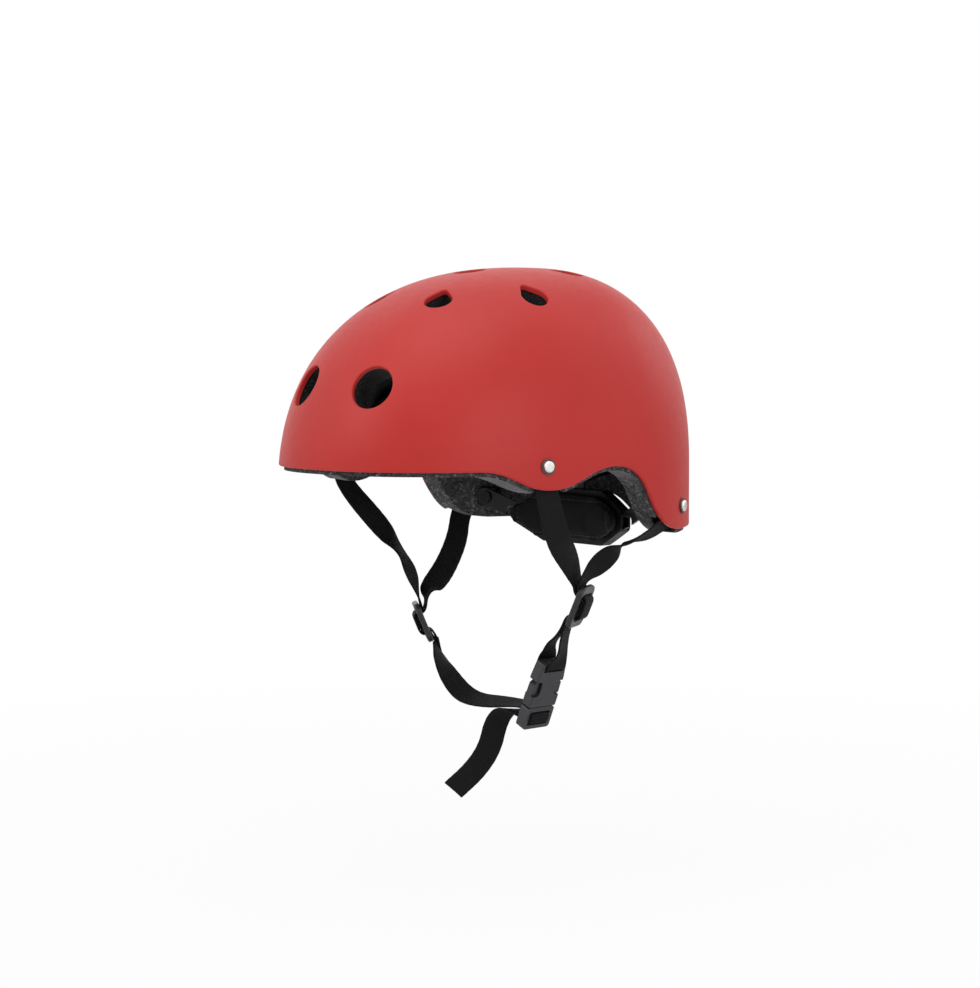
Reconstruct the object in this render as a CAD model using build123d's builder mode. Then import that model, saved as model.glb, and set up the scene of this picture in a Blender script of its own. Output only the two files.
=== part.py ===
from build123d import *
from math import asin, atan2, cos, degrees, hypot, pi, radians, sin
import os

# Water helmet. Origin: centre of the head opening, on the plane of the front brim.
# +X is the wearer's left, -Y the front, +Z up. All sizes are in millimetres.

# ---- Shell form ----
shell_width = 214.0
front_reach = 163.4      # from the widest station to the front
rear_reach = 96.6        # from the widest station to the back
crown_height = 121.6     # above the brim plane
plan_power = 2.35        # exponent of the oval seen from above
front_power = 2.28       # exponents of the profile, front and back
rear_power = 2.50
front_equator = -17.5    # height of the widest level, front and back
rear_equator = -0.2
shell_wall = 3.0
outer_edge_round = 1.0   # of the rim and vents, outside
inner_edge_round = 0.5   # of the rim, inside
form_reach = 2.60        # angle from the crown, in radians, that the form is built to
form_stations = 35

# ---- Rim of the shell, from the side ----
brim_end = -75.0         # the straight brim ends here
bump_y = -33.0           # lowest point of the ear bump
bump_depth = 11.5
arch_y = 15.0            # top of the arch behind the ear bump
arch_rise = 1.1
lobe_y = 78.0            # lowest point of the rear lobe
lobe_depth = 40.0
rear_rim_depth = 38.0
nape_arch_half_width = 58.0
nape_arch_rise = 19.0

# ---- Liner and pads ----
liner_gap = 0.3
liner_side = 16.0
liner_crown = 20.0
liner_drop = 2.5         # the liner shows this far below the shell
pad_gap = 1.2            # filled by the hook-and-loop discs
pad_thickness = 8.0
hook_disc_diameter = 18.0

# ---- Vents ----
front_vent_diameter = 26.5
front_vent_x = 31.5
front_vent_y = -112.0
front_vent_z = 49.0
front_vent_turn = 22.0   # degrees outwards from straight ahead
front_vent_tilt = 20.0
crown_vent_y = -8.0      # centre of the ring of vents
ring_radius = 55.0
ring_vents = 6
ring_tilt = 18.0
tear_blunt_radius = 8.4
tear_tip_radius = 2.4
tear_reach = 10.5        # from the blunt end's centre to the tip's centre
crown_vent_radius = 10.0
rear_vent_x = 30.0
rear_vent_y = 112.0
rear_vent_z = 52.0
rear_vent_turn = 22.0
rear_vent_tilt = 20.0
rear_vent_diameter = 22.0
vent_relief = 1.5        # the liner's vents are this much wider each side

# ---- Strap rivets ----
front_rivet_angle = -34.5     # degrees around the crown, from the wearer's left towards the back
front_rivet_z = 2.5
rear_rivet_angle = 25.0
rear_rivet_z = -25.8
front_strap_lean = 8.0        # degrees that each strap leans towards the back on its way down
left_rear_strap_lean = -55.0
right_rear_strap_lean = -32.0
rivet_head_diameter = 7.0
rivet_head_height = 1.6
rivet_shank_diameter = 4.0
rivet_collar_diameter = 9.4
rivet_collar_thickness = 0.8
rivet_washer_diameter = 10.0
rivet_washer_thickness = 1.0
rivet_clearance = 0.05
webbing_width = 15.0
webbing_thickness = 1.2
webbing_clearance = 0.3
rim_ease = 1.6           # the webbing stands this much further inside the shell at the rim

# ---- Rear size adjuster ----
band_radius = 187.0      # the racks' inner face, seen from above
band_back = 84.0         # where the band crosses the middle
band_z = -38.0           # height of the cradle's middle
cradle_half_width = 50.0
cradle_half_height = 17.5
cradle_flat = 27.0       # half length of the cradle's straight top edge
cradle_end_half_height = 6.0
rack_thickness = 1.8
rack_gap = 0.3           # running gap beside each rack
rack_half_height = 5.6
rack_rise = 12.0         # the racks climb this far to their anchors
rack_end_x = 80.0
rack_start_x = 16.0      # each rack passes the middle by this much
rack_slot_end_x = 60.0
rack_slot_start_x = 12.0
cover_thickness = 2.0
housing_wall = 1.6
nape_pad_thickness = 8.0
pinion_teeth = 10
pinion_module = 0.6
pinion_shaft_radius = 2.4
dial_screw_radius = 1.2
dial_screw_head_radius = 2.6
dial_screw_head_height = 1.4
dial_diameter = 34.0
dial_depth = 10.0
dial_grips = 16
dial_gap = 0.4
ratchet_ring_diameter = 24.0
ratchet_ring_depth = 2.0
cradle_screw_diameter = 2.2
cradle_screw_x = 24.0
cradle_screw_z = 11.5
anchor_pin_diameter = 4.0
anchor_width = 14.0
anchor_thickness = 1.6
anchor_depth = 8.0
anchor_fit = 0.3
hanger_width = 9.0
hanger_thickness = 1.2
hanger_button_z = -6.0
hanger_post_length = 9.0

# ---- Strap dividers ----
divider_left = (72.5, 17.5, -85.5)
divider_right = (-76.0, 17.5, -108.0)
divider_left_facing = (0.82, 0.43, -0.37)
divider_right_facing = (-0.54, -0.75, -0.38)
divider_width = 25.0
divider_height = 27.0
divider_thickness = 3.6
divider_slot_height = 4.4
divider_slot_width = 16.5
divider_slot_y = 6.8     # the slots' middles, above and below the centre
layer_step = 1.5         # two straps pass through one over the other

# ---- Chin buckle ----
buckle_centre = (37.0, 17.5, -145.6)
buckle_lean = 23.6       # degrees of the buckle's axis from upright
buckle_width = 22.0
buckle_thickness = 8.0
socket_length = 31.0
socket_wall = 1.5
plug_length = 15.0
prong_width = 3.2
prong_thickness = 4.4
plug_thickness = 7.0
tongue_width = 4.0
tongue_length = 11.0
buckle_gap = 0.3

half_width = shell_width / 2
overall_length = front_reach + rear_reach
widest_y = front_reach - overall_length / 2


def form_station(around, inset, crown_inset):
    # Half-axes of the helmet form in the upright plane at this angle around the crown.
    back = (1 + sin(around)) / 2
    power = front_power * (1 - back) + rear_power * back
    equator = front_equator * (1 - back) + rear_equator * back
    reach = (rear_reach if sin(around) > 0 else front_reach) - inset
    side = abs(cos(around)) / (half_width - inset)
    brim = (side**plan_power + (abs(sin(around)) / reach) ** plan_power) ** (-1 / plan_power)
    rise = crown_height - crown_inset - equator
    widest = brim / (1 - max(0, -equator / rise) ** power) ** (1 / power)
    return power, equator, rise, widest


def form_point(u, v, inset, crown_inset):
    # (u, v) is the angle from the crown, as a flat vector.
    tilt = hypot(u, v)
    around = atan2(v, u)
    power, equator, rise, widest = form_station(around, inset, crown_inset)
    if tilt < pi / 2:
        ray = ((sin(tilt) / widest) ** power + (cos(tilt) / rise) ** power) ** (-1 / power)
        out, height = ray * sin(tilt), equator + ray * cos(tilt)
    else:
        out, height = widest, equator - widest * (tilt - pi / 2)
    return Vector(out * cos(around), out * sin(around) + widest_y, height)


def skin_plane(around_degrees, height, inset):
    # A plane on the form at this angle and height, with its normal pointing out.
    def point(around, z):
        power, equator, rise, widest = form_station(around, inset, inset)
        out = widest * (1 - max(0, (z - equator) / rise) ** power) ** (1 / power)
        return Vector(out * cos(around), out * sin(around) + widest_y, z)

    around = radians(around_degrees)
    here, step = point(around, height), 0.01
    along = point(around + step, height) - here
    up = point(around, height + 1) - here
    return Plane(origin=here, x_dir=along, z_dir=along.cross(up))


def form_face(inset, crown_inset):
    angles = [form_reach * (2 * i / (form_stations - 1) - 1) for i in range(form_stations)]
    return Face.make_surface_from_array_of_points(
        [[form_point(u, v, inset, crown_inset) for v in angles] for u in angles], tol=0.01
    )


def form_solid(inset, crown_inset, floor):
    with BuildPart() as form:
        with BuildSketch(Plane.XY.offset(floor)):
            Rectangle(shell_width + 60, overall_length + 60)
        extrude(amount=crown_height - floor + 30)
        split(bisect_by=form_face(inset, crown_inset), keep=Keep.BOTTOM)
    return form.part


form_floor = -lobe_depth - 8
core_floor = form_floor - 2
liner_outer = shell_wall + liner_gap
liner_inner = liner_outer + liner_side
liner_inner_crown = liner_outer + liner_crown
pad_outer = liner_inner + pad_gap
pad_inner = pad_outer + pad_thickness


def cut_rim(drop):
    # Trims a shell to the rim, seen from the side, then arches it over the nape.
    floor, far = form_floor - 60, overall_length / 2 + 20
    with BuildSketch(Plane.YZ) as side:
        with BuildLine():
            Line((-far, -drop), (brim_end, -drop))
            Spline((brim_end, -drop), (bump_y, -bump_depth - drop), tangents=[(1, 0), (1, 0)])
            Spline((bump_y, -bump_depth - drop), (arch_y, arch_rise - drop), tangents=[(1, 0), (1, 0)])
            Spline(
                (arch_y, arch_rise - drop),
                (arch_y + 0.44 * (lobe_y - arch_y), -0.40 * lobe_depth - drop),
                (lobe_y, -lobe_depth - drop),
                tangents=[(1, 0), (0.55, -1), (1, 0)],
            )
            Line((lobe_y, -lobe_depth - drop), (far, -rear_rim_depth - drop))
            Polyline(
                (far, -rear_rim_depth - drop), (far, floor), (-far, floor), (-far, -drop)
            )
        make_face()
    extrude(side.sketch, amount=half_width + 20, both=True, mode=Mode.SUBTRACT)
    with BuildSketch(Plane.XZ.offset(-far)) as nape:
        with BuildLine():
            Spline(
                (-nape_arch_half_width, -lobe_depth - drop),
                (0, nape_arch_rise - lobe_depth - drop),
                (nape_arch_half_width, -lobe_depth - drop),
                tangents=[(1, 0), (1, 0), (1, 0)],
            )
            Polyline(
                (nape_arch_half_width, -lobe_depth - drop),
                (nape_arch_half_width, floor),
                (-nape_arch_half_width, floor),
                (-nape_arch_half_width, -lobe_depth - drop),
            )
        make_face()
    extrude(nape.sketch, amount=far - lobe_y + 20, mode=Mode.SUBTRACT)


def vent_plane(x, y, z, turn, tilt, front):
    # Plane of a vent that looks ahead (or back), turned outwards and tilted up, in degrees.
    side = 1 if x > 0 else -1
    turn, tilt = radians(turn), radians(tilt)
    facing = Vector(side * sin(turn) * cos(tilt), front * cos(turn) * cos(tilt), sin(tilt))
    return Plane(origin=(x, y, z), x_dir=(front * cos(turn), -side * sin(turn), 0), z_dir=facing)


def cut_vents(relief):
    reach = 35
    for side in (-1, 1):
        front = vent_plane(side * front_vent_x, front_vent_y, front_vent_z, front_vent_turn,
                           front_vent_tilt, -1)
        rear = vent_plane(side * rear_vent_x, rear_vent_y, rear_vent_z, rear_vent_turn,
                          rear_vent_tilt, 1)
        for plane, diameter in ((front, front_vent_diameter), (rear, rear_vent_diameter)):
            with BuildSketch(plane) as hole:
                Circle(diameter / 2 + relief)
            extrude(hole.sketch, amount=reach, both=True, mode=Mode.SUBTRACT)
    for i in range(ring_vents):
        around = radians(360 / ring_vents * (i + 0.5) - 90)
        out = Vector(cos(around), sin(around), 0)
        up = Vector(0, 0, 1)
        lean = radians(ring_tilt)
        centre = Vector(0, crown_vent_y, crown_height - 15) + out * ring_radius
        tear_plane = Plane(origin=centre, x_dir=out.cross(up), z_dir=up * cos(lean) + out * sin(lean))
        with BuildSketch(tear_plane) as tear:
            with Locations((0, -tear_reach / 2)):
                Circle(tear_tip_radius + relief)
            with Locations((0, tear_reach / 2)):
                Circle(tear_blunt_radius + relief)
            make_hull()
        extrude(tear.sketch, amount=reach, both=True, mode=Mode.SUBTRACT)
    with BuildSketch(Plane((0, crown_vent_y, crown_height - 15))) as crown:
        Circle(crown_vent_radius + relief)
    extrude(crown.sketch, amount=reach, both=True, mode=Mode.SUBTRACT)


# Each rivet: its angle around the crown, its height, and the turn of its strap on the skin there.
rivet_places = {
    "left_front": (front_rivet_angle, front_rivet_z, front_strap_lean),
    "right_front": (180 - front_rivet_angle, front_rivet_z, -front_strap_lean),
    "left_rear": (rear_rivet_angle, rear_rivet_z, left_rear_strap_lean),
    "right_rear": (180 - rear_rivet_angle, rear_rivet_z, -right_rear_strap_lean),
}
strap_depth = shell_wall + webbing_clearance + webbing_thickness
rivet_reach = strap_depth + 2 * webbing_clearance + rivet_washer_thickness
rivet_tail = 0.8         # the peened end stands this far out of the washer
pocket_depth = rivet_reach + rivet_tail + 5.0

# ---- Places of the rear size adjuster ----
band_centre = Vector(0, band_back - band_radius, 0)
cover_outer = band_radius - rack_gap
cover_inner = cover_outer - cover_thickness
pad_face = cover_inner - webbing_clearance
second_rack = band_radius + rack_thickness + rack_gap
cavity_outer = second_rack + rack_thickness + rack_gap
housing_outer = cavity_outer + housing_wall
pinion_pitch_radius = pinion_module * pinion_teeth / 2
pinion_radius = pinion_pitch_radius + 0.8 * pinion_module
rack_slot_half_height = pinion_pitch_radius + 1.25 * pinion_module
pin_x = rack_end_x - anchor_width / 2
pin_z = band_z + rack_rise * (pin_x - cradle_half_width) / (rack_end_x - cradle_half_width)


def anchor_plane(side, radius):
    # A plane square to the band where a rack's end is pinned.
    turn = asin(pin_x / band_radius)
    return Plane(
        (side * radius * sin(turn), band_centre.Y + radius * cos(turn), pin_z),
        x_dir=(-side * cos(turn), sin(turn), 0),
        z_dir=(side * sin(turn), cos(turn), 0),
    )


hanger_wall = skin_plane(90, hanger_button_z, liner_inner + webbing_clearance).origin.Y
hanger_seat = Plane((0, hanger_wall - hanger_thickness, hanger_button_z), x_dir=(-1, 0, 0), z_dir=(0, 1, 0))
arm_layers = {"left": (1, band_radius), "right": (-1, second_rack)}

# ---- Outer shell ----
with BuildPart() as outer_shell:
    add(form_solid(0, 0, form_floor))
    add(form_solid(shell_wall, shell_wall, core_floor), mode=Mode.SUBTRACT)
    cut_rim(0)
    cut_vents(0)
    fillet(faces().sort_by(SortBy.AREA)[-1].edges(), radius=outer_edge_round)
    fillet(faces().sort_by(SortBy.AREA)[-2].outer_wire().edges(), radius=inner_edge_round)
    for around, height, _ in rivet_places.values():
        with BuildSketch(skin_plane(around, height, 0)):
            Circle(rivet_shank_diameter / 2 + rivet_clearance)
        extrude(amount=2 * shell_wall, both=True, mode=Mode.SUBTRACT)
outer_shell.part.label = "outer_shell"

# ---- Foam liner, with a pocket behind each strap anchor ----
with BuildPart() as foam_liner:
    add(form_solid(liner_outer, liner_outer, form_floor))
    add(form_solid(liner_inner, liner_inner_crown, core_floor), mode=Mode.SUBTRACT)
    cut_rim(liner_drop)
    cut_vents(vent_relief)
    for around, height, strap_lean in rivet_places.values():
        with BuildSketch(skin_plane(around, height, 0).offset(-pocket_depth)):
            with PolarLocations(20, 1, start_angle=strap_lean - 90):
                Rectangle(40 + rivet_washer_diameter + 5, webbing_width + 6)
        extrude(amount=pocket_depth + 5, mode=Mode.SUBTRACT)
    for side, inner in arm_layers.values():
        with BuildSketch(anchor_plane(side, inner)):
            RectangleRounded(anchor_width + 2 * anchor_fit, anchor_width - 2 + 2 * anchor_fit, 3 + anchor_fit)
        extrude(amount=rack_thickness + rack_gap + anchor_depth + anchor_fit, mode=Mode.SUBTRACT)
    with BuildSketch(hanger_seat):
        Circle(anchor_pin_diameter / 2 + rivet_clearance)
    extrude(amount=hanger_post_length + 1, both=True, mode=Mode.SUBTRACT)
foam_liner.part.label = "foam_liner"

# ---- Strap rivets, collars and washers ----
with BuildPart() as strap_rivets:
    for around, height, _ in rivet_places.values():
        face = skin_plane(around, height, 0)
        with BuildSketch(face.offset(rivet_collar_thickness)):
            Circle(rivet_head_diameter / 2)
        extrude(amount=rivet_head_height)
        fillet(faces().sort_by(Axis(face.origin, face.z_dir))[-1].edges(), radius=rivet_head_height * 0.7)
        with BuildSketch(face.offset(-rivet_reach - rivet_tail)):
            Circle(rivet_shank_diameter / 2)
        extrude(amount=rivet_reach + rivet_tail + rivet_collar_thickness)
strap_rivets.part.label = "strap_rivets"

with BuildPart() as rivet_collars:
    for around, height, _ in rivet_places.values():
        with BuildSketch(skin_plane(around, height, 0)):
            Circle(rivet_collar_diameter / 2)
            Circle(rivet_shank_diameter / 2 + rivet_clearance, mode=Mode.SUBTRACT)
        extrude(amount=rivet_collar_thickness)
rivet_collars.part.label = "rivet_collars"

with BuildPart() as rivet_washers:
    for around, height, _ in rivet_places.values():
        with BuildSketch(skin_plane(around, height, 0).offset(-rivet_reach)):
            Circle(rivet_washer_diameter / 2)
            Circle(rivet_shank_diameter / 2 + rivet_clearance, mode=Mode.SUBTRACT)
        extrude(amount=rivet_washer_thickness)
rivet_washers.part.label = "rivet_washers"

# ---- Comfort pads: pieces of one skin inside the liner ----
with BuildPart() as pad_skin:
    add(form_solid(pad_outer, liner_inner_crown + pad_gap, form_floor))
    add(form_solid(pad_inner, liner_inner_crown + pad_gap + pad_thickness, core_floor), mode=Mode.SUBTRACT)


def pad_block(plane, width, height, corner):
    with BuildSketch(plane) as outline:
        RectangleRounded(width, height, corner)
    extrude(outline.sketch, amount=overall_length / 2, mode=Mode.INTERSECT)


brow_place = Plane((0, -40, 20), x_dir=(1, 0, 0), z_dir=(0, -1, 0))
rear_place = Plane((0, 60, 22), x_dir=(-1, 0, 0), z_dir=(0, 1, 0))
side_places = {
    name: Plane((side * 40, 6, 26), x_dir=(0, 1, 0), z_dir=(side, 0, 0))
    for name, side in (("left", 1), ("right", -1))
}

with BuildPart() as brow_pad:
    add(pad_skin.part)
    pad_block(brow_place, 128, 30, 12)
brow_pad.part.label = "brow_pad"

with BuildPart() as rear_pad:
    add(pad_skin.part)
    pad_block(rear_place, 96, 30, 12)
rear_pad.part.label = "rear_pad"

side_pads = {}
for name, place in side_places.items():
    with BuildPart() as side_pad:
        add(pad_skin.part)
        pad_block(place, 62, 36, 14)
    side_pad.part.label = f"side_pad_{name}"
    side_pads[name] = side_pad.part

crown_pad_outer = ring_radius - tear_reach / 2 - tear_tip_radius - vent_relief - 8
crown_pad_inner = crown_vent_radius + vent_relief + 4
with BuildPart() as crown_pad:
    add(pad_skin.part)
    with BuildSketch(Plane((0, crown_vent_y, 40))) as ring:
        Circle(crown_pad_outer)
        Circle(crown_pad_inner, mode=Mode.SUBTRACT)
    extrude(ring.sketch, amount=crown_height, mode=Mode.INTERSECT)
crown_pad.part.label = "crown_pad"

# ---- Hook-and-loop discs that hold the pads to the liner ----
with BuildPart() as disc_posts:
    for place, offsets in (
        (brow_place, (-42, 0, 42)),
        (rear_place, (-28, 28)),
        (side_places["left"], (-16, 16)),
        (side_places["right"], (-16, 16)),
    ):
        with BuildSketch(place) as discs:
            with Locations(*[(x, 0) for x in offsets]):
                Circle(hook_disc_diameter / 2)
        extrude(discs.sketch, amount=overall_length / 2)
    with BuildSketch(Plane((0, crown_vent_y, 40))) as discs:
        with PolarLocations((crown_pad_inner + crown_pad_outer) / 2, 3, start_angle=90):
            Circle(hook_disc_diameter / 2 - 3)
    extrude(discs.sketch, amount=crown_height)

with BuildPart() as hook_discs:
    add(form_solid(liner_inner, liner_inner_crown, form_floor))
    add(form_solid(pad_outer, liner_inner_crown + pad_gap, core_floor), mode=Mode.SUBTRACT)
    add(disc_posts.part, mode=Mode.INTERSECT)
hook_discs.part.label = "hook_discs"

# ---- Rear size adjuster ----


def band_wall(inner, outer):
    # A cylindrical wall behind the head, from one radius to another.
    with BuildSketch(Plane.XY.offset(band_z - 60)) as ring:
        with Locations((band_centre.X, band_centre.Y)):
            Circle(outer)
            Circle(inner, mode=Mode.SUBTRACT)
    extrude(ring.sketch, amount=120)


def cradle_outline(grow):
    with BuildSketch(Plane.XZ.offset(-band_back + 40)) as outline:
        with BuildLine():
            corners = [
                (cradle_half_width + grow, cradle_end_half_height + grow),
                (cradle_flat, cradle_half_height + grow),
            ]
            Polyline(
                *[(x, band_z + z) for x, z in corners],
                *[(-x, band_z + z) for x, z in reversed(corners)],
                *[(-x, band_z - z) for x, z in corners],
                *[(x, band_z - z) for x, z in reversed(corners)],
                close=True,
            )
        make_face()
        fillet(outline.vertices(), radius=4)
    return outline.sketch


def rack_outline(side):
    # A rack and its climbing arm, seen from behind the head.
    with BuildSketch(Plane.XZ.offset(-band_back + 60)) as outline:
        with BuildLine():
            ends = []
            for edge in (1, -1):
                z = edge * rack_half_height + band_z
                ends.append([
                    (-side * rack_start_x, z),
                    (side * cradle_half_width, z),
                    (side * rack_end_x, z + rack_rise),
                ])
            Polyline(*ends[0], *reversed(ends[1]), close=True)
        make_face()
        fillet(outline.vertices().sort_by(Axis.X)[:2] if side < 0 else
               outline.vertices().sort_by(Axis.X)[-2:], radius=5)
    return outline.sketch


def rack_teeth(side):
    # Rack teeth along one edge of the slot, on the pinion's pitch, with one over the middle.
    pitch = pi * pinion_module
    root = band_z + side * rack_slot_half_height
    tip = band_z + side * (pinion_pitch_radius - 0.8 * pinion_module)
    first = 1 - int(rack_slot_start_x / pitch)
    with BuildSketch(Plane.XZ.offset(-band_back + 60)) as teeth:
        for i in range(first, int(rack_slot_end_x / pitch) - 1):
            x = side * i * pitch
            with BuildLine():
                Polyline(
                    (x - pitch * 0.30, root + side * 0.2),
                    (x + pitch * 0.30, root + side * 0.2),
                    (x + pitch * 0.11, tip),
                    (x - pitch * 0.11, tip),
                    close=True,
                )
            make_face()
    return teeth.sketch


with BuildPart() as nape_pad:
    band_wall(pad_face - nape_pad_thickness, pad_face)
    extrude(cradle_outline(-1.5), amount=-100, mode=Mode.INTERSECT)
nape_pad.part.label = "nape_pad"


def back_plane(y):
    # A plane facing backwards, with its x axis to the wearer's right and y axis up.
    return Plane((0, y, band_z), x_dir=(-1, 0, 0), z_dir=(0, 1, 0))


housing_back = band_centre.Y + housing_outer
seat_back = housing_back + 0.8      # the flat round seat of the dial
dial_front = seat_back + dial_gap
dial_back = dial_front + dial_depth
rack_channel = rack_half_height + rack_gap
cradle_top_y = (band_centre.Y + cover_outer + housing_back) / 2
cradle_screws = [(x, z) for x in (-cradle_screw_x, cradle_screw_x) for z in (-cradle_screw_z, cradle_screw_z)]
cover_front = band_centre.Y + cover_inner * cos(asin(cradle_screw_x / cover_inner))

with BuildPart() as rack_channel_space:
    band_wall(cover_outer - 1, cavity_outer)
    with BuildSketch(back_plane(0)):
        Rectangle(2 * cradle_half_width + 20, 2 * rack_channel)
    extrude(amount=150, mode=Mode.INTERSECT)

with BuildPart() as cradle_housing:
    band_wall(cover_outer, housing_outer)
    extrude(cradle_outline(0), amount=-100, mode=Mode.INTERSECT)
    with BuildSketch(back_plane(housing_back - 3)):
        Circle(dial_diameter / 2 - 3)
    extrude(amount=seat_back - housing_back + 3)
    add(rack_channel_space.part, mode=Mode.SUBTRACT)
    with BuildSketch(back_plane(0)):
        Circle(pinion_shaft_radius + rivet_clearance)
    extrude(amount=150, mode=Mode.SUBTRACT)
    with BuildSketch(back_plane(housing_back - 6)):
        with Locations(*cradle_screws):
            Circle(cradle_screw_diameter / 2 + rivet_clearance)
    extrude(amount=-30, mode=Mode.SUBTRACT)
cradle_housing.part.label = "cradle_housing"

with BuildPart() as cradle_cover:
    band_wall(cover_inner, cover_outer)
    extrude(cradle_outline(0), amount=-100, mode=Mode.INTERSECT)
    with BuildSketch(back_plane(0)):
        with Locations(*cradle_screws):
            Circle(cradle_screw_diameter / 2 + rivet_clearance)
    extrude(amount=150, mode=Mode.SUBTRACT)
cradle_cover.part.label = "cradle_cover"

with BuildPart() as cradle_screw_set:
    with BuildSketch(back_plane(cover_front + 0.5)):
        with Locations(*cradle_screws):
            Circle(cradle_screw_diameter / 2)
    extrude(amount=housing_back - 6.2 - cover_front - 0.5)
cradle_screw_set.part.label = "cradle_screws"

gear_front = band_centre.Y + cover_outer + rack_gap
with BuildSketch() as pinion_tooth:
    with BuildLine():
        Polyline(
            (pinion_pitch_radius - 1.3 * pinion_module, 0.26 * pi * pinion_module),
            (pinion_radius, 0.10 * pi * pinion_module),
            (pinion_radius, -0.10 * pi * pinion_module),
            (pinion_pitch_radius - 1.3 * pinion_module, -0.26 * pi * pinion_module),
            close=True,
        )
    make_face()

with BuildPart() as dial_pinion:
    with BuildSketch(back_plane(gear_front)):
        Circle(pinion_pitch_radius - pinion_module)
        with PolarLocations(0, pinion_teeth):
            add(pinion_tooth.sketch)
    extrude(amount=cavity_outer - cover_outer - 2 * rack_gap)
    with BuildSketch(back_plane(gear_front + 1)):
        Circle(pinion_shaft_radius)
    extrude(amount=dial_back - 3 - gear_front - 1)
    with BuildSketch(back_plane(gear_front + 2)):
        Circle(dial_screw_radius + rivet_clearance)
    extrude(amount=dial_depth * 3, mode=Mode.SUBTRACT)
dial_pinion.part.label = "dial_pinion"

with BuildPart() as fit_dial:
    with BuildSketch(back_plane(dial_front)):
        Circle(dial_diameter / 2)
        with PolarLocations(dial_diameter / 2 + 0.6, dial_grips):
            Circle(1.9, mode=Mode.SUBTRACT)
    extrude(amount=dial_depth)
    chamfer(faces().sort_by(Axis.Y)[-1].edges(), length=0.8)
    with BuildSketch(back_plane(dial_front)):
        Circle(ratchet_ring_diameter / 2 + rack_gap)
    extrude(amount=ratchet_ring_depth, mode=Mode.SUBTRACT)
    with BuildSketch(back_plane(dial_front)):
        Circle(pinion_shaft_radius + rivet_clearance)
    extrude(amount=dial_depth - 3 + rivet_clearance, mode=Mode.SUBTRACT)
    with BuildSketch(back_plane(dial_front)):
        Circle(dial_screw_radius + rivet_clearance)
    extrude(amount=dial_depth, mode=Mode.SUBTRACT)
    with BuildSketch(back_plane(dial_back - dial_screw_head_height)):
        Circle(dial_screw_head_radius + webbing_clearance)
    extrude(amount=dial_screw_head_height, mode=Mode.SUBTRACT)
fit_dial.part.label = "fit_dial"

with BuildPart() as dial_screw:
    with BuildSketch(back_plane(dial_back - dial_screw_head_height)):
        Circle(dial_screw_head_radius)
    extrude(amount=dial_screw_head_height - 0.2)
    with BuildSketch(back_plane(dial_back - dial_screw_head_height)):
        Circle(dial_screw_radius)
    extrude(amount=-dial_depth * 0.7)
dial_screw.part.label = "dial_screw"

with BuildPart() as ratchet_ring:
    with BuildSketch(back_plane(seat_back)):
        Circle(ratchet_ring_diameter / 2)
        Circle(ratchet_ring_diameter / 2 - 2.2, mode=Mode.SUBTRACT)
        with PolarLocations(ratchet_ring_diameter / 2 - 2.2, 24):
            RegularPolygon(0.9, 3, mode=Mode.SUBTRACT)
    extrude(amount=ratchet_ring_depth)
ratchet_ring.part.label = "ratchet_ring"

# ---- Rack arms, with their anchors in the liner and pins ----
racks = {}
anchors = {}
for name, (side, inner) in arm_layers.items():
    with BuildPart() as rack_arm:
        band_wall(inner, inner + rack_thickness)
        extrude(rack_outline(side), amount=-160, mode=Mode.INTERSECT)
        with BuildSketch(Plane.XZ.offset(-band_back + 60)) as slot:
            with Locations((side * (rack_slot_end_x - rack_slot_start_x) / 2, band_z)):
                SlotOverall(rack_slot_end_x + rack_slot_start_x, 2 * rack_slot_half_height)
        extrude(slot.sketch - rack_teeth(side), amount=-160, mode=Mode.SUBTRACT)
        with BuildSketch(anchor_plane(side, inner - 5)):
            Circle(anchor_pin_diameter / 2 + rivet_clearance)
        extrude(amount=10, mode=Mode.SUBTRACT)
    rack_arm.part.label = f"rack_arm_{name}"
    racks[name] = rack_arm.part
    with BuildPart() as anchor:
        with BuildSketch(anchor_plane(side, inner + rack_thickness + rack_gap)):
            RectangleRounded(anchor_width, anchor_width - 2, 3)
            Circle(anchor_pin_diameter / 2 + rivet_clearance, mode=Mode.SUBTRACT)
        extrude(amount=anchor_depth)
    anchor.part.label = f"arm_anchor_{name}"
    anchors[name] = anchor.part

with BuildPart() as anchor_pins:
    for side, inner in arm_layers.values():
        with BuildSketch(anchor_plane(side, inner - rack_gap - anchor_thickness)):
            Circle(anchor_pin_diameter)
        extrude(amount=anchor_thickness)
        with BuildSketch(anchor_plane(side, inner - rack_gap)):
            Circle(anchor_pin_diameter / 2)
        extrude(amount=rack_thickness + 2 * rack_gap + anchor_depth - 1)
anchor_pins.part.label = "anchor_pins"

# ---- Webbing ----


def ribbon(route, width, thickness):
    # A flat strip through stations of a point and the direction of its width.
    # Each width is taken the way round that turns least from the one before.
    sections = []
    last_across = Vector(route[0][1])
    for i, (point, across) in enumerate(route):
        before, after = Vector(route[max(i - 1, 0)][0]), Vector(route[min(i + 1, len(route) - 1)][0])
        here = Vector(point)
        ahead = (after - here).normalized() if i < len(route) - 1 else Vector(0, 0, 0)
        behind = (here - before).normalized() if i else Vector(0, 0, 0)
        facing = (ahead + behind).normalized()
        across = Vector(across)
        across = (across - facing * across.dot(facing)).normalized()
        across = across * (1 if across.dot(last_across) > 0 else -1)
        last_across = across
        stretch = 1 / max(0.5, (ahead if i < len(route) - 1 else behind).dot(facing))
        with BuildSketch(Plane(point, x_dir=across, z_dir=facing)) as section:
            Rectangle(width, thickness * stretch)
        sections.append(section.sketch)
    for start, end in zip(sections, sections[1:]):
        loft([start, end], ruled=True)


def from_plane(plane, y, z):
    return plane.from_local_coords(Vector(0, y, z))


def divider_plane(centre, facing):
    # The middle plane of a divider, facing outwards; its y axis runs up the strap.
    facing = Vector(facing)
    return Plane(centre, x_dir=Vector(0, 0, 1).cross(facing), z_dir=facing)


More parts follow.
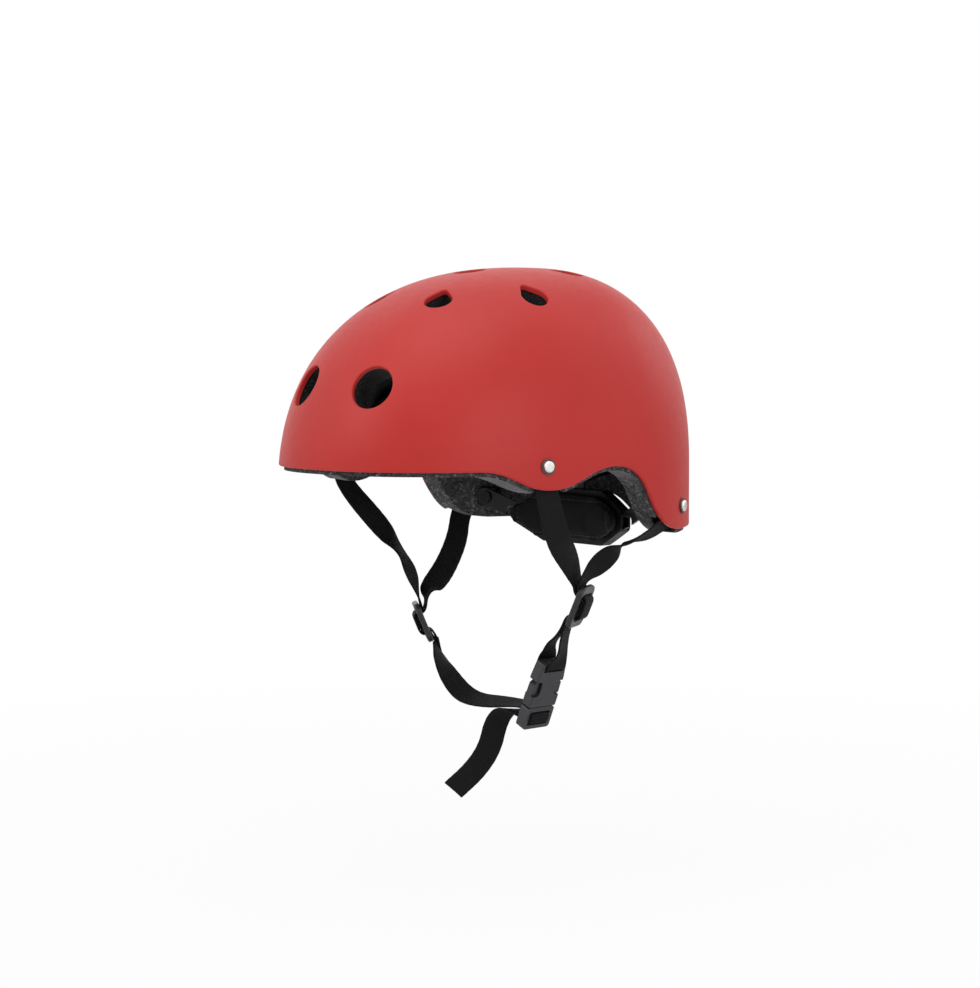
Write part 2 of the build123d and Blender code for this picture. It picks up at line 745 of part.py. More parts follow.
def anchor_route(name, rim_drop):
    # From above the rivet down past the rim, flat against the inside of the shell.
    around, height, strap_lean = rivet_places[name]
    seat = skin_plane(around, height, 0)
    down = seat.y_dir * -cos(radians(strap_lean)) + seat.x_dir * sin(radians(strap_lean))
    depth = shell_wall + webbing_clearance + webbing_thickness / 2
    half = rivet_washer_diameter / 2 + 1.5
    route = []
    for drop, ease in ((-half, 0.3), (half, 0.3), (rim_drop, rim_ease)):
        place = seat.origin + down * drop
        turned = degrees(atan2(place.Y - widest_y, place.X))
        under = skin_plane(turned, place.Z, 0).offset(-depth - ease)
        route.append((under.origin, down.cross(under.z_dir)))
    return route


def strap_with_hole(name, route):
    # A strap whose upper end is pierced by its rivet.
    around, height, _ = rivet_places[name]
    ribbon(route, webbing_width, webbing_thickness)
    with BuildSketch(skin_plane(around, height, 0)) as hole:
        Circle(rivet_shank_diameter / 2 + rivet_clearance)
    extrude(hole.sketch, amount=-rivet_reach - 3, mode=Mode.SUBTRACT)


# ---- Strap dividers: a curved plate with an upper and a lower slot ----
divider_planes = {
    "left": divider_plane(divider_left, divider_left_facing),
    "right": divider_plane(divider_right, divider_right_facing),
}
dividers = {}
for name, plane in divider_planes.items():
    with BuildPart() as divider:
        with BuildSketch(plane):
            RectangleRounded(divider_width, divider_height, 5)
            with Locations((0, divider_slot_y), (0, -divider_slot_y)):
                RectangleRounded(divider_slot_width, divider_slot_height, 0.8, mode=Mode.SUBTRACT)
        extrude(amount=divider_thickness / 2, both=True)
        for way in (0, -1):
            rim = faces().sort_by(Axis((0, 0, 0), plane.z_dir))[way].outer_wire()
            fillet(rim.edges(), radius=1.2)
    divider.part.label = f"divider_{name}"
    dividers[name] = divider.part


def through_divider(plane, layer, lead):
    # In through the upper slot from the cheek's side, over the bar and back through the lower slot.
    # The strap comes to the slot from a height of lead off the plate.
    off = layer * layer_step / 2
    stand = divider_thickness / 2 + webbing_clearance + (layer_step + webbing_thickness) / 2
    corners = [
        (divider_height / 2 + 2, lead),
        (divider_slot_y - off, stand + off),
        (divider_slot_y - off, -stand + off),
        (0, -stand + off),
        (off - divider_slot_y, -stand + off),
        (off - divider_slot_y, stand + off),
        (-divider_height / 2 - 5, stand + off),
    ]
    return [(from_plane(plane, y, -z), plane.x_dir) for y, z in corners]


# ---- Chin buckle: the socket's axis is y of its plane, and its mouth faces down ----
lean = radians(buckle_lean)
buckle = Plane(buckle_centre, x_dir=(0, 1, 0), z_dir=(cos(lean), 0, -sin(lean)))
socket_mouth = -4.5
socket_top = socket_mouth + socket_length
cavity_top = socket_mouth + 20.0
cavity_half = buckle_width / 2 - socket_wall
prong_root = socket_mouth - buckle_gap
prong_x = cavity_half - buckle_gap - prong_width / 2
prong_top = cavity_top - 1.0
window_low, window_high = prong_top - 11.0, prong_top - 0.5
window_depth = 5.0
loop_slot_y = socket_top - 4.2
loop_slot_height = 3.4

with BuildPart() as buckle_socket:
    with BuildSketch(buckle) as socket_outline:
        with BuildLine():
            half = buckle_width / 2
            Polyline(
                (half, socket_mouth), (half, prong_top + 1), (half - 1.6, socket_top),
                (1.6 - half, socket_top), (-half, prong_top + 1), (-half, socket_mouth), close=True,
            )
        make_face()
        fillet(socket_outline.vertices(), radius=1.4)
    extrude(amount=buckle_thickness / 2, both=True)
    wide_faces = faces().filter_by(Axis((0, 0, 0), buckle.z_dir))
    fillet(wide_faces.edges(), radius=1.0)
    with BuildSketch(buckle):
        with Locations((half, (window_low + window_high) / 2), (-half, (window_low + window_high) / 2)):
            RectangleRounded(2 * window_depth, window_high - window_low, 2.4)
    extrude(amount=buckle_thickness, both=True, mode=Mode.SUBTRACT)
    with BuildSketch(buckle):
        with Locations((0, (socket_mouth + cavity_top) / 2)):
            Rectangle(2 * cavity_half, cavity_top - socket_mouth)
    extrude(amount=prong_thickness / 2 + buckle_gap, both=True, mode=Mode.SUBTRACT)
    with BuildSketch(buckle):
        with Locations((0, loop_slot_y)):
            RectangleRounded(divider_slot_width, loop_slot_height, 1)
    extrude(amount=buckle_thickness, both=True, mode=Mode.SUBTRACT)
buckle_socket.part.label = "buckle_socket"

plug_top = socket_mouth - buckle_gap
plug_bottom = plug_top - plug_length
upper_slot_y = plug_top - 4.4
lower_slot_y = plug_bottom + 4.0
ladder_slot_height = 2.8
with BuildPart() as buckle_plug:
    with BuildSketch(buckle):
        with Locations((0, (plug_top + plug_bottom) / 2)):
            RectangleRounded(buckle_width, plug_length, 2.2)
        with Locations((0, upper_slot_y), (0, lower_slot_y)):
            RectangleRounded(divider_slot_width, ladder_slot_height, 0.8, mode=Mode.SUBTRACT)
    extrude(amount=plug_thickness / 2, both=True)
    with BuildSketch(buckle):
        with Locations((0, plug_top + tongue_length / 2 - 0.5)):
            Rectangle(tongue_width, tongue_length + 1)
    extrude(amount=prong_thickness / 2 - buckle_gap, both=True)
buckle_plug.part.label = "buckle_plug"

prongs = {}
for name, side in (("front", -1), ("rear", 1)):
    with BuildPart() as prong:
        with BuildSketch(buckle) as prong_outline:
            with BuildLine():
                Polyline(
                    (side * (prong_x + prong_width / 2), plug_top + buckle_gap / 3),
                    (side * (prong_x + prong_width / 2 - 0.9), window_low + 0.2),
                    (side * (buckle_width / 2 + 0.7), window_low + 0.5),
                    (side * (buckle_width / 2 + 0.4), window_high - 2.5),
                    (side * (prong_x + prong_width / 2 - 0.4), prong_top - 0.8),
                    (side * (prong_x - 0.4), prong_top - 0.8),
                    (side * (prong_x - prong_width / 2 + 0.5), window_low),
                    (side * (prong_x - prong_width / 2), plug_top + buckle_gap / 3),
                    close=True,
                )
            make_face()
            fillet(prong_outline.vertices().group_by(Axis(buckle.origin, buckle.y_dir))[-1], radius=1.0)
        extrude(amount=prong_thickness / 2, both=True)
    prong.part.label = f"{name}_prong"
    prongs[name] = prong.part


# ---- Webbing routes ----
strand = buckle_thickness / 2 + webbing_clearance + webbing_thickness / 2


def at_buckle(y, z, across=(0, 1, 0)):
    return from_plane(buckle, y, z), across


def loop_end(side):
    # Down onto the socket's bar on one side, and into the middle of its loop slot.
    return [
        at_buckle(socket_top + 9, side * (strand + 1)),
        at_buckle(socket_top + 1, side * strand),
        at_buckle(loop_slot_y, side * strand),
        at_buckle(loop_slot_y, side * webbing_clearance / 2),
    ]


with BuildPart() as left_front_webbing:
    strap_with_hole("left_front", [
        *anchor_route("left_front", 19),
        ((90, -18, -42), (0.6, 0.8, 0.1)),
        ((79, 2, -56), (0.1, 0.95, 0)),
        *through_divider(divider_planes["left"], 1, 8.5),
        *loop_end(-1),
    ])
left_front_webbing.part.label = "left_front_webbing"

with BuildPart() as left_rear_webbing:
    strap_with_hole("left_rear", [
        *anchor_route("left_rear", 16),
        ((97, 53.5, -41.6), (0.1, 0.5, -0.8)),
        ((94.5, 44.5, -44.3), (0.7, 0.15, -0.6)),
        ((91.5, 36.5, -47.5), (1, -0.1, 0)),
        ((86.5, 31, -52.5), (0.7, -0.3, 0.5)),
        ((80.5, 26.5, -59.5), (0.5, -0.6, 0.4)),
        *through_divider(divider_planes["left"], -1, 4.5),
        *loop_end(1),
    ])
left_rear_webbing.part.label = "left_rear_webbing"

plug_strand = plug_thickness / 2 + webbing_clearance + webbing_thickness / 2
with BuildPart() as right_front_webbing:
    strap_with_hole("right_front", [
        *anchor_route("right_front", 19),
        ((-93, -3, -46), (0.1, 0.9, 0.2)),
        ((-88, 8.4, -61), (0.1, 0.9, 0.1)),
        ((-82, 13.2, -76), (-0.4, 0.9, 0)),
        *through_divider(divider_planes["right"], -1, 3.6),
        ((-63.4, 21.6, -127.6), (-0.6, 0.7, 0)),
        ((-56, 17.5, -133), (-0.3, 0.9, 0.1)),
        ((-48.6, 17.5, -141.8), (0, 0.9, 0.4)),
        ((-37.1, 17.5, -150.5), (0, 0.8, 0.6)),
        ((-24.2, 17.5, -153.6), (0, 0.9, 0.3)),
        ((-5, 17.5, -152.9), (0, 0.9, 0.5)),
        ((14, 17.5, -151.5), (0, 1, 0.2)),
        at_buckle(upper_slot_y, -plug_strand - 2),
        at_buckle(upper_slot_y, plug_strand),
        at_buckle((upper_slot_y + lower_slot_y) / 2 + webbing_clearance / 2, plug_strand),
    ])
right_front_webbing.part.label = "right_front_webbing"

with BuildPart() as right_rear_webbing:
    strap_with_hole("right_rear", [
        *anchor_route("right_rear", 19),
        ((-90, 60, -57), (0.1, 0.8, 0.5)),
        ((-84, 44, -75), (0, 0.85, 0.4)),
        ((-79.5, 30, -84.5), (-0.5, 0.8, 0.2)),
        *through_divider(divider_planes["right"], 1, 9),
        ((-62.4, 22.8, -127), (-0.6, 0.7, 0)),
    ])
right_rear_webbing.part.label = "right_rear_webbing"

with BuildPart() as adjuster_tail:
    ribbon(
        [
            at_buckle((upper_slot_y + lower_slot_y) / 2 - webbing_clearance / 2, plug_strand),
            at_buckle(lower_slot_y, plug_strand),
            at_buckle(lower_slot_y, -plug_strand - 1),
            ((12, 17.5, -158.5), (0.1, 1, 0)),
            ((2, 17.5, -162), (0.3, 0.9, -0.2)),
            ((-4.5, 17.5, -170), (0.5, 0.8, -0.3)),
            ((-10, 17.5, -183), (0.5, 0.7, -0.4)),
            ((-24, 17.5, -199), (0.5, 0.6, -0.55)),
            ((-45.5, 17.5, -215), (0.5, 0.56, -0.65)),
        ],
        webbing_width, webbing_thickness,
    )
adjuster_tail.part.label = "adjuster_tail"

# ---- Hanger strap from the cradle up to the liner ----
hanger_foot = band_z + cradle_half_height
with BuildPart() as hanger_strap:
    ribbon(
        [
            ((0, cradle_top_y, hanger_foot + webbing_clearance), (1, 0, 0)),
            ((0, cradle_top_y, hanger_foot + 5), (1, 0, 0)),
            ((0, hanger_wall - hanger_thickness / 2, hanger_button_z - 5), (1, 0, 0)),
            ((0, hanger_wall - hanger_thickness / 2, hanger_button_z + 5), (1, 0, 0)),
        ],
        hanger_width, hanger_thickness,
    )
    with BuildSketch(hanger_seat):
        Circle(anchor_pin_diameter / 2 + rivet_clearance)
    extrude(amount=hanger_post_length, both=True, mode=Mode.SUBTRACT)
hanger_strap.part.label = "hanger_strap"

with BuildPart() as hanger_button:
    with BuildSketch(hanger_seat.offset(-rivet_clearance)):
        Circle(anchor_pin_diameter * 0.9)
    extrude(amount=-anchor_thickness)
    with BuildSketch(hanger_seat.offset(-rivet_clearance)):
        Circle(anchor_pin_diameter / 2)
    extrude(amount=hanger_post_length)
hanger_button.part.label = "hanger_button"

os.makedirs("parts", exist_ok=True)
for piece in (outer_shell, foam_liner, strap_rivets, rivet_collars, rivet_washers, brow_pad, rear_pad,
              crown_pad, nape_pad, cradle_housing, cradle_cover, cradle_screw_set, dial_pinion, fit_dial,
              dial_screw, ratchet_ring, anchor_pins, buckle_socket, buckle_plug, left_front_webbing,
              left_rear_webbing, right_front_webbing, right_rear_webbing, adjuster_tail, hanger_strap,
              hanger_button, hook_discs):
    export_step(piece.part, f"parts/{piece.part.label}.step")
for piece in (*side_pads.values(), *racks.values(), *anchors.values(), *dividers.values(), *prongs.values()):
    export_step(piece, f"parts/{piece.label}.step")
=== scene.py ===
import math

import bmesh
import bpy
import numpy as np
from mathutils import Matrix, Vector
from mathutils.bvhtree import BVHTree


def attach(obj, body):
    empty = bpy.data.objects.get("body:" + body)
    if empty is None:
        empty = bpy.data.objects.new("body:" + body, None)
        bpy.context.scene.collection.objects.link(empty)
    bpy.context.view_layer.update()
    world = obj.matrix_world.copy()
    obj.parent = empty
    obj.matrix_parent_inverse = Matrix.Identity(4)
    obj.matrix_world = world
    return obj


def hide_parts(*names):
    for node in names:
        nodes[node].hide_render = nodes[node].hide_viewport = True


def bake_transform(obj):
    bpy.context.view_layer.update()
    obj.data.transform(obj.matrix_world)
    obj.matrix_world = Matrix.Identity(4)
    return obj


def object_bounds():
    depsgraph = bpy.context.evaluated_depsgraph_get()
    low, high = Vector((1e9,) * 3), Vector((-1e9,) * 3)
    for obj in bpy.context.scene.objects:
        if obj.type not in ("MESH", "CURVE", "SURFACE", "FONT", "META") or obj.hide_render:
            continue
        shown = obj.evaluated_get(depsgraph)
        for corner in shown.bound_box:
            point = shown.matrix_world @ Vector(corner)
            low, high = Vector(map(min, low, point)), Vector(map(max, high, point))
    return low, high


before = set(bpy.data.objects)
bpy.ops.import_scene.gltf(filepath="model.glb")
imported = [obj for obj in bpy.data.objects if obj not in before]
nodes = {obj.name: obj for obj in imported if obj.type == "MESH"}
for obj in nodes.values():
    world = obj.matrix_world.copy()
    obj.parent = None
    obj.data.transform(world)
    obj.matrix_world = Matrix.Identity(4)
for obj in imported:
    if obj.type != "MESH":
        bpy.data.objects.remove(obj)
cadBox = [list(corner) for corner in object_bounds()]
print("frame loaded:", len(nodes), "nodes")

# ahead of the wearer's left shoulder, a metre and a half away
cameraSettings = {"azimuth": 47.5, "elevation": 3.04, "distance": 1.5, "lens": 86.3,
                  "target": (0, 0.0334, 0), "shift": (-0.0293, -0.0342), "sensor": 36, "clip": (0.05, 60)}
lightSettings = {
    "overhead": {"at": (0.2, -0.3, 1.5), "size": 1.6, "power": 9},
    "key": {"at": (-0.5, -1.5, 1.0), "size": 1.1, "power": 7},
    "side": {"at": (1.6, -0.2, 0.5), "size": 1.0, "power": 4},
    "back": {"at": (0.4, 1.4, 0.8), "size": 1.0, "power": 3},
}
stageSettings = {"floorDrop": 0.04, "floorSize": 30, "floorColour": (0.9, 0.9, 0.9, 1), "nearGlow": 0.93,
                 "fade": 0.9, "ambient": 0.42, "backdrop": (1, 1, 1, 1)}


def aimAt(at, target):
    return (Vector(target) - Vector(at)).to_track_quat("-Z", "Y").to_euler()


def addCamera(s):
    azimuth, elevation = math.radians(s["azimuth"]), math.radians(s["elevation"])
    back = Vector((math.sin(azimuth) * math.cos(elevation), -math.cos(azimuth) * math.cos(elevation),
                   math.sin(elevation)))
    data = bpy.data.cameras.new("mainCamera")
    data.lens = s["lens"]
    data.sensor_width = s["sensor"]
    data.shift_x, data.shift_y = s["shift"]
    data.clip_start, data.clip_end = s["clip"]
    camera = bpy.data.objects.new("mainCamera", data)
    camera.location = Vector(s["target"]) + back * s["distance"]
    camera.rotation_euler = aimAt(camera.location, s["target"])
    bpy.context.collection.objects.link(camera)
    bpy.context.scene.camera = camera


def addLights(settings):
    for name, s in settings.items():
        data = bpy.data.lights.new(name + "Light", "AREA")
        data.shape = "DISK"
        data.size = s["size"]
        data.energy = s["power"]
        lamp = bpy.data.objects.new(name + "Light", data)
        lamp.location = s["at"]
        lamp.rotation_euler = aimAt(s["at"], (0, 0, 0))
        bpy.context.collection.objects.link(lamp)


class Value:
    # a node's output that takes Python arithmetic from its right; each step adds a Math node
    def __init__(self, maker, socket):
        self.maker, self.socket = maker, socket

    def apply(self, operation, *others):
        values = dict(enumerate([self, *others]))
        return self.maker.node("ShaderNodeMath", {"operation": operation}, values)

    def __add__(self, other):
        return self.apply("ADD", other)

    def __mul__(self, other):
        return self.apply("MULTIPLY", other)

    def __abs__(self):
        return self.apply("ABSOLUTE")

    def sine(self):
        return self.apply("SINE")


class NodeMaker:
    def __init__(self, tree):
        self.tree = tree
        self.tree.nodes.clear()

    def node(self, kind, settings=None, inputs=None, output=0):
        made = self.tree.nodes.new(kind)
        for name, value in (settings or {}).items():
            setattr(made, name, value)
        for key, value in (inputs or {}).items():
            if isinstance(value, Value):
                self.tree.links.new(value.socket, made.inputs[key])
            else:
                made.inputs[key].default_value = value
        return Value(self, made.outputs[output]) if made.outputs else None

    def outputs(self, kind, inputs=None):
        made = self.node(kind, inputs=inputs).socket.node
        return [Value(self, socket) for socket in made.outputs if socket.enabled]


class MaterialMaker(NodeMaker):
    sockets = {"colour": "Base Color", "roughness": "Roughness", "metallic": "Metallic", "normal": "Normal",
               "specular": "Specular IOR Level", "sheen": "Sheen Weight", "sheenRoughness": "Sheen Roughness"}

    def __init__(self, owner):
        self.owner = owner
        owner.use_nodes = True
        super().__init__(owner.node_tree)

    def place(self, kind="Object"):
        return self.node("ShaderNodeTexCoord", output=kind)

    def axes(self, vector):
        return self.outputs("ShaderNodeSeparateXYZ", {0: vector})

    def noise(self, vector, scale, detail=2.0, roughness=0.5):
        return self.node("ShaderNodeTexNoise", inputs={
            "Vector": vector, "Scale": scale, "Detail": detail, "Roughness": roughness})

    def cells(self, vector, scale, feature="F1", output="Distance"):
        return self.node("ShaderNodeTexVoronoi", {"feature": feature},
                         {"Vector": vector, "Scale": scale}, output)

    def between(self, value, low, high, start=0.0, end=1.0):
        return self.node("ShaderNodeMapRange", inputs={0: value, 1: low, 2: high, 3: start, 4: end})

    def blend(self, factor, first, second):
        return self.node("ShaderNodeMix", {"data_type": "RGBA"}, {0: factor, 6: first, 7: second}, 2)

    def bump(self, height, distance, strength=1.0):
        return self.node("ShaderNodeBump", inputs={
            "Strength": strength, "Distance": distance, "Height": height}, output="Normal")

    def finish(self, **inputs):
        shader = self.node("ShaderNodeBsdfPrincipled", inputs={
            self.sockets[key]: value for key, value in inputs.items()})
        self.node("ShaderNodeOutputMaterial", inputs={"Surface": shader})
        return self.owner


def newFinish(name):
    return MaterialMaker(bpy.data.materials.new(name))


shellLook = {"colour": (0.58, 0.036, 0.031, 1), "deep": (0.545, 0.031, 0.026, 1), "specular": 0.27,
             "cloudSize": 14, "cloudRange": (0.35, 0.65), "polishSize": 260, "polishRange": (0.3, 0.7),
             "roughness": (0.39, 0.46), "grainSize": 1600, "grainRoughness": 0.6,
             "grainHeight": 0.00004, "grainStrength": 0.5}
foamLook = {"bead": (0.085, 0.084, 0.088, 1), "pale": (0.24, 0.235, 0.24, 1),
            "dark": (0.014, 0.014, 0.015, 1), "roughness": 0.88, "specular": 0.3, "beadSize": 780,
            "mottleSize": 170, "mottleRange": (0.35, 0.7), "mottleShare": 0.35, "paleRange": (0.75, 1.2),
            "darkRange": (0.0, 0.45), "darkShare": 0.75, "gapRange": (0.0, 0.10), "gapShare": 0.8,
            "paintedHighlightRange": (-0.98, -0.7), "paintedHighlightShare": 0.55, "shadeRange": (-0.005, 0.03), "shadeShare": 0.75,
            "beadRound": (0, 0.25), "skinSize": 2600, "skinShare": 0.3, "height": 0.00022}
plasticLook = {"cloudSize": 90, "cloudRange": (0.3, 0.7), "lighter": 1.35, "spread": 0.05,
               "grainStrength": 0.6}
metalLook = {"scuffSize": 900, "scuffRoughness": 0.7, "darker": 0.7, "darkRange": (0.4, 0.75),
             "duller": 0.18, "dullRange": (0.3, 0.8), "height": 0.00002, "strength": 0.5}
knitLook = {"colour": (0.006, 0.006, 0.0065, 1), "loop": (0.017, 0.017, 0.018, 1), "roughness": 0.92,
            "specular": 0.12, "sheen": 0.06, "sheenRoughness": 0.5, "pitch": 0.0012,
            "slants": (0.8, 0.6), "courseRate": 1.2, "sway": 0.9, "loopRange": (0.0, 0.6),
            "loopShare": 0.8, "fuzzSize": 5200, "fuzzShare": 0.35, "height": 0.00022}
webLook = {"dark": (0.0035, 0.0035, 0.004, 1), "light": (0.013, 0.013, 0.014, 1), "specular": 0.16,
           "roughness": (0.78, 0.62), "rib": 0.0013, "ribShare": 0.55, "pick": 0.0009,
           "pickShare": 0.45, "toneRange": (0.35, 0.95), "weaveTone": 0.8, "fuzzTone": 0.3,
           "fuzzSize": 4200, "fuzzShare": 0.25, "height": 0.00022}
threadLook = {"dark": (0.012, 0.012, 0.013, 1), "light": (0.045, 0.045, 0.047, 1), "roughness": 0.6,
              "twistSize": 6000, "height": 0.00003}


def shaded(colour, share):
    return tuple(c * share for c in colour[:3]) + (1,)


def shellPaint(s):
    m = newFinish("shellPaint")
    place = m.place()
    cloud = m.noise(place, s["cloudSize"], 3)
    polish = m.noise(place, s["polishSize"], 3)
    grain = m.noise(place, s["grainSize"], 2, s["grainRoughness"])
    return m.finish(colour=m.blend(m.between(cloud, *s["cloudRange"]), s["deep"], s["colour"]),
                    roughness=m.between(polish, *s["polishRange"], *s["roughness"]),
                    normal=m.bump(grain, s["grainHeight"], s["grainStrength"]), specular=s["specular"])


def linerFoam(s):
    m = newFinish("linerFoam")
    place = m.place()
    edges = m.cells(place, s["beadSize"], "DISTANCE_TO_EDGE")
    paleness, darkness, _ = m.axes(m.cells(place, s["beadSize"], output="Color"))
    mottle = m.between(m.noise(place, s["mottleSize"], 3), *s["mottleRange"])
    pale = m.between(paleness + mottle * s["mottleShare"], *s["paleRange"])
    colour = m.blend(pale, s["bead"], s["pale"])
    colour = m.blend(m.between(darkness, *s["darkRange"], s["darkShare"], 0), colour, s["dark"])
    colour = m.blend(m.between(edges, *s["gapRange"], s["gapShare"], 0), colour, s["dark"])
    # painted highlight: the downward-facing cut underside is made paler
    facing = m.axes(m.node("ShaderNodeNewGeometry", output="Normal"))[2]
    colour = m.blend(m.between(facing, *s["paintedHighlightRange"], s["paintedHighlightShare"], 0), colour, s["pale"])
    # painted shade: the bowl darkens upwards
    shade = m.between(m.axes(place)[2], *s["shadeRange"]) * s["shadeShare"]
    colour = m.blend(shade, colour, s["dark"])
    height = m.between(edges, *s["beadRound"]) + m.noise(place, s["skinSize"], 2) * s["skinShare"]
    return m.finish(colour=colour, roughness=s["roughness"], normal=m.bump(height, s["height"]),
                    specular=s["specular"])


def plasticFinish(name, colour, roughness, grainSize=2200, grainHeight=0.00003, specular=0.5):
    m, s = newFinish(name), plasticLook
    place = m.place()
    grain = m.cells(place, grainSize)
    cloud = m.noise(place, s["cloudSize"], 3)
    rough = m.between(cloud, *s["cloudRange"], roughness - s["spread"], roughness + s["spread"])
    lighter = shaded(colour, s["lighter"])
    return m.finish(colour=m.blend(m.between(cloud, *s["cloudRange"]), colour, lighter), roughness=rough,
                    normal=m.bump(grain, grainHeight, s["grainStrength"]), specular=specular)


def metalFinish(name, colour, roughness):
    m, s = newFinish(name), metalLook
    scuff = m.noise(m.place(), s["scuffSize"], 4, s["scuffRoughness"])
    darker = shaded(colour, s["darker"])
    return m.finish(colour=m.blend(m.between(scuff, *s["darkRange"]), colour, darker), metallic=1.0,
                    roughness=m.between(scuff, *s["dullRange"], roughness, roughness + s["duller"]),
                    normal=m.bump(scuff, s["height"], s["strength"]))


def knitFabric(name, s):
    # Wales run upwards and courses across them, both slanted so that no side is left plain.
    m = newFinish(name)
    place = m.place()
    x, y, z = m.axes(place)
    turn = 2 * math.pi / s["pitch"]
    waleSlant, courseSlant = s["slants"]
    wales = ((x + y * waleSlant) * turn).sine()
    courses = ((z + y * courseSlant) * (turn * s["courseRate"]) + wales * s["sway"]).sine()
    loops = m.between(abs(wales * courses), *s["loopRange"])
    fuzz = m.noise(place, s["fuzzSize"], 3)
    return m.finish(colour=m.blend(loops * s["loopShare"], s["colour"], s["loop"]),
                    normal=m.bump(loops + fuzz * s["fuzzShare"], s["height"]), roughness=s["roughness"],
                    specular=s["specular"], sheen=s["sheen"], sheenRoughness=s["sheenRoughness"])


def wovenWebbing(s):
    # Ribs run along the strap and the picks cross them, over and under by turns.
    m = newFinish("wovenWebbing")
    u, v, _ = m.axes(m.place("UV"))
    ribs = (u * (2 * math.pi / s["rib"])).sine()
    picks = (v * (2 * math.pi / s["pick"]) + ribs.apply("SIGN") * (math.pi / 2)).sine()
    weave = m.between(ribs * s["ribShare"] + picks * s["pickShare"], -1, 1)
    fuzz = m.noise(m.place(), s["fuzzSize"], 3)
    tone = m.between(weave * s["weaveTone"] + fuzz * s["fuzzTone"], *s["toneRange"])
    return m.finish(colour=m.blend(tone, s["dark"], s["light"]),
                    roughness=m.between(weave, 0, 1, *s["roughness"]),
                    normal=m.bump(weave + fuzz * s["fuzzShare"], s["height"]), specular=s["specular"])


def blackThread(s):
    m = newFinish("blackThread")
    twist = m.noise(m.place(), s["twistSize"], 2)
    return m.finish(colour=m.blend(twist, s["dark"], s["light"]), roughness=s["roughness"],
                    normal=m.bump(twist, s["height"]))


finishes = {
    "shell": shellPaint(shellLook),
    "foam": linerFoam(foamLook),
    "webbing": wovenWebbing(webLook),
    "thread": blackThread(threadLook),
    "knit": knitFabric("knitFabric", knitLook),
    "hook": knitFabric("hookTape", {**knitLook, "pitch": 0.0007}),
    "buckle": plasticFinish("bucklePlastic", (0.026, 0.026, 0.031, 1), 0.36),
    "divider": plasticFinish("dividerPlastic", (0.013, 0.013, 0.016, 1), 0.34),
    "cradle": plasticFinish("cradlePlastic", (0.0075, 0.0075, 0.008, 1), 0.50, 1500, 0.00006, 0.25),
    "arm": plasticFinish("armPlastic", (0.008, 0.008, 0.009, 1), 0.34, specular=0.3),
    "dial": plasticFinish("dialPlastic", (0.012, 0.012, 0.013, 1), 0.55, 1500, 0.00005),
    "pinion": plasticFinish("pinionPlastic", (0.03, 0.03, 0.032, 1), 0.40),
    "rivet": metalFinish("rivetSteel", (0.93, 0.91, 0.88, 1), 0.24),
    "collar": metalFinish("collarSteel", (0.11, 0.10, 0.10, 1), 0.40),
    "screw": metalFinish("screwSteel", (0.45, 0.44, 0.43, 1), 0.30),
}
nodeFinishes = {
    "outer_shell": "shell", "foam_liner": "foam", "strap_rivets": "rivet", "rivet_collars": "collar",
    "rivet_washers": "rivet", "hook_discs": "hook", "cradle_housing": "cradle", "cradle_cover": "cradle",
    "cradle_screws": "screw", "dial_screw": "screw", "dial_pinion": "pinion", "fit_dial": "dial",
    "ratchet_ring": "cradle", "rack_arm_left": "arm", "rack_arm_right": "arm", "hanger_strap": "arm",
    "hanger_button": "cradle", "arm_anchor_left": "cradle", "arm_anchor_right": "cradle",
    "anchor_pins": "cradle", "divider_left": "divider", "divider_right": "divider",
    "buckle_socket": "buckle", "buckle_plug": "buckle", "front_prong": "buckle", "rear_prong": "buckle",
    "brow_pad": "knit", "rear_pad": "knit", "side_pad_left": "knit", "side_pad_right": "knit",
    "crown_pad": "knit", "nape_pad": "knit", "left_front_webbing": "webbing",
    "left_rear_webbing": "webbing", "right_front_webbing": "webbing", "right_rear_webbing": "webbing",
    "adjuster_tail": "webbing",
}
for nodeName, finishName in nodeFinishes.items():
    nodes[nodeName].data.materials.clear()
    nodes[nodeName].data.materials.append(finishes[finishName])
print("finishes made:", len(finishes))


def lengthsAlong(points):
    steps = np.linalg.norm(np.diff(points, axis=0), axis=1)
    return np.concatenate([[0], np.cumsum(steps)])


def smoothRun(stations, spacing, fewest):
    # A strap's middle line and the direction of its width, eased round every station.
    points = [Vector(point) for point, _ in stations]
    widths = [Vector(width).normalized() for _, width in stations]
    for before, width in zip(widths, widths[1:]):
        if width.dot(before) < 0:
            width.negate()
    last = len(points) - 1
    centres, sides, marks = [], [], []
    for i in range(last + 1):
        ends = []
        for values in (points, widths):
            start = values[0] if i == 0 else (values[i - 1] + values[i]) / 2
            end = values[last] if i == last else (values[i] + values[i + 1]) / 2
            middle = (start + end) / 2 if i in (0, last) else values[i]
            ends.append((start, middle, end))
        length = (ends[0][1] - ends[0][0]).length + (ends[0][2] - ends[0][1]).length
        steps = max(fewest, math.ceil(length / spacing))
        marks.append(len(centres) + (0 if i == 0 else steps if i == last else steps // 2))
        for k in range(steps + (i == last)):
            t = k / steps
            for (start, middle, end), kept in zip(ends, (centres, sides)):
                kept.append(start * (1 - t) ** 2 + middle * (2 * t * (1 - t)) + end * t ** 2)
    centres, sides = np.array(centres), np.array(sides)
    tangents = np.gradient(centres, axis=0)
    tangents /= np.linalg.norm(tangents, axis=1, keepdims=True)
    sides -= tangents * (sides * tangents).sum(1, keepdims=True)
    sides /= np.linalg.norm(sides, axis=1, keepdims=True)
    return (centres, sides, np.cross(tangents, sides)), marks


def linkMesh(name, mesh, finish):
    mesh.materials.clear()
    mesh.materials.append(finish)
    made = bpy.data.objects.new(name, mesh)
    bpy.context.collection.objects.link(made)
    return made


